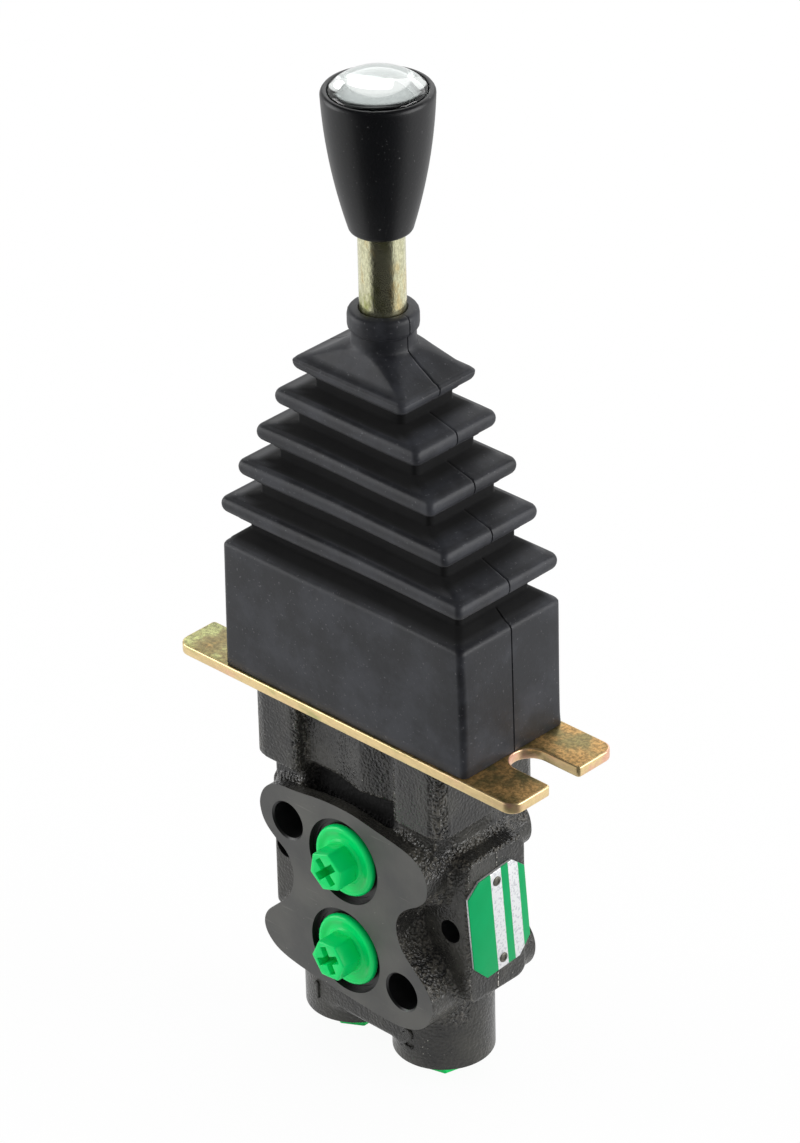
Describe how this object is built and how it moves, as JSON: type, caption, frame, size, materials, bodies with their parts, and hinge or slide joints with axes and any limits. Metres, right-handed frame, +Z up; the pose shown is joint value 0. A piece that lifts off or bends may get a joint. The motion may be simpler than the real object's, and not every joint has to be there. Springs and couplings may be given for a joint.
{
  "type": "hydraulic remote control valve",
  "caption": "Single-axis lever pilot valve: dark cast body with front line ports and bottom work ports, zinc flange with open slots, pleated rubber boot, zinc lever rod and tapered black knob.",
  "frame": {"origin": "centre of the top face of the mounting flange", "axes": "+Z up along the lever at rest, +X along the flange and the lever's tilt, -Y out of the front face with the two line ports"},
  "size_m": [0.1, 0.0386, 0.2384],
  "materials": {
    "cast_body": "satin dark grey paint on rough casting",
    "yellow_zinc": "yellow passivated zinc",
    "black_rubber": "matte moulded rubber",
    "seal_rubber": "matte",
    "black_plastic": "fine matte",
    "green_plastic": "semi gloss",
    "label": "printed green with silver bands",
    "rivet_steel": "dull",
    "steel": "satin",
    "dark_steel": "phosphated",
    "bright_steel": "ground",
    "spring_steel": "oiled",
    "bronze": "machined",
    "silver_disc": "bright brushed",
    "clear_cap": "clear polished"
  },
  "bodies": {
    "valve_body": {"body_casting": "cast_body", "flange_plate": "yellow_zinc", "pivot_bracket": "yellow_zinc", "boot_retainer": "yellow_zinc", "flange_screws": "steel", "boot": "black_rubber", "guide_bush_1": "bronze", "guide_bush_2": "bronze", "bush_seal_1": "black_rubber", "bush_seal_2": "black_rubber", "wiper_seal_1": "seal_rubber", "wiper_seal_2": "seal_rubber", "spring_shim_1": "steel", "spring_shim_2": "steel", "return_spring_1": "spring_steel", "return_spring_2": "spring_steel", "metering_spring_1": "spring_steel", "metering_spring_2": "spring_steel", "tank_plug": "green_plastic", "pressure_plug": "green_plastic", "work_plug_1": "green_plastic", "work_plug_2": "green_plastic", "name_plate": "label", "plate_rivets": "rivet_steel", "pivot_pin": "bright_steel", "pivot_circlips": "spring_steel"},
    "lever": {"rocker": "dark_steel", "rocker_bushes": "bronze", "adjusting_screws": "dark_steel", "lever_rod": "yellow_zinc", "rod_lock_nut": "yellow_zinc", "knob": "black_plastic", "knob_insert": "bronze", "knob_disc": "silver_disc", "knob_cap": "clear_cap"},
    "plunger_left": {"plunger_1": "bright_steel", "spring_seat_1": "steel"},
    "plunger_right": {"plunger_2": "bright_steel", "spring_seat_2": "steel"},
    "spool_left": {"metering_spool_1": "bright_steel"},
    "spool_right": {"metering_spool_2": "bright_steel"}
  },
  "joints": [
    {"name": "lever_tilt", "type": "hinge", "parent": "valve_body", "child": "lever", "pos_m": [0, 0, 0.012], "axis": [0, 1, 0], "range_deg": [-20, 20], "stiffness_Nm_per_rad": 3, "deforming": ["boot"]},
    {"name": "plunger_left_slide", "type": "slide", "parent": "valve_body", "child": "plunger_left", "axis": [0, 0, 1], "range_m": [-0.0031, 0.0031], "deforming": ["return_spring_1", "metering_spring_1"]},
    {"name": "plunger_right_slide", "type": "slide", "parent": "valve_body", "child": "plunger_right", "axis": [0, 0, 1], "range_m": [-0.0031, 0.0031], "deforming": ["return_spring_2", "metering_spring_2"]},
    {"name": "spool_left_slide", "type": "slide", "parent": "valve_body", "child": "spool_left", "axis": [0, 0, 1], "range_m": [-0.0014, 0.0014]},
    {"name": "spool_right_slide", "type": "slide", "parent": "valve_body", "child": "spool_right", "axis": [0, 0, 1], "range_m": [-0.0014, 0.0014]}
  ],
  "couplings": [
    {"joint": "plunger_left_slide", "follows": "lever_tilt", "m_per_rad": 0.0088629},
    {"joint": "plunger_right_slide", "follows": "lever_tilt", "m_per_rad": -0.0088629},
    {"joint": "spool_left_slide", "follows": "lever_tilt", "m_per_rad": 0.004},
    {"joint": "spool_right_slide", "follows": "lever_tilt", "m_per_rad": -0.004}
  ]
}
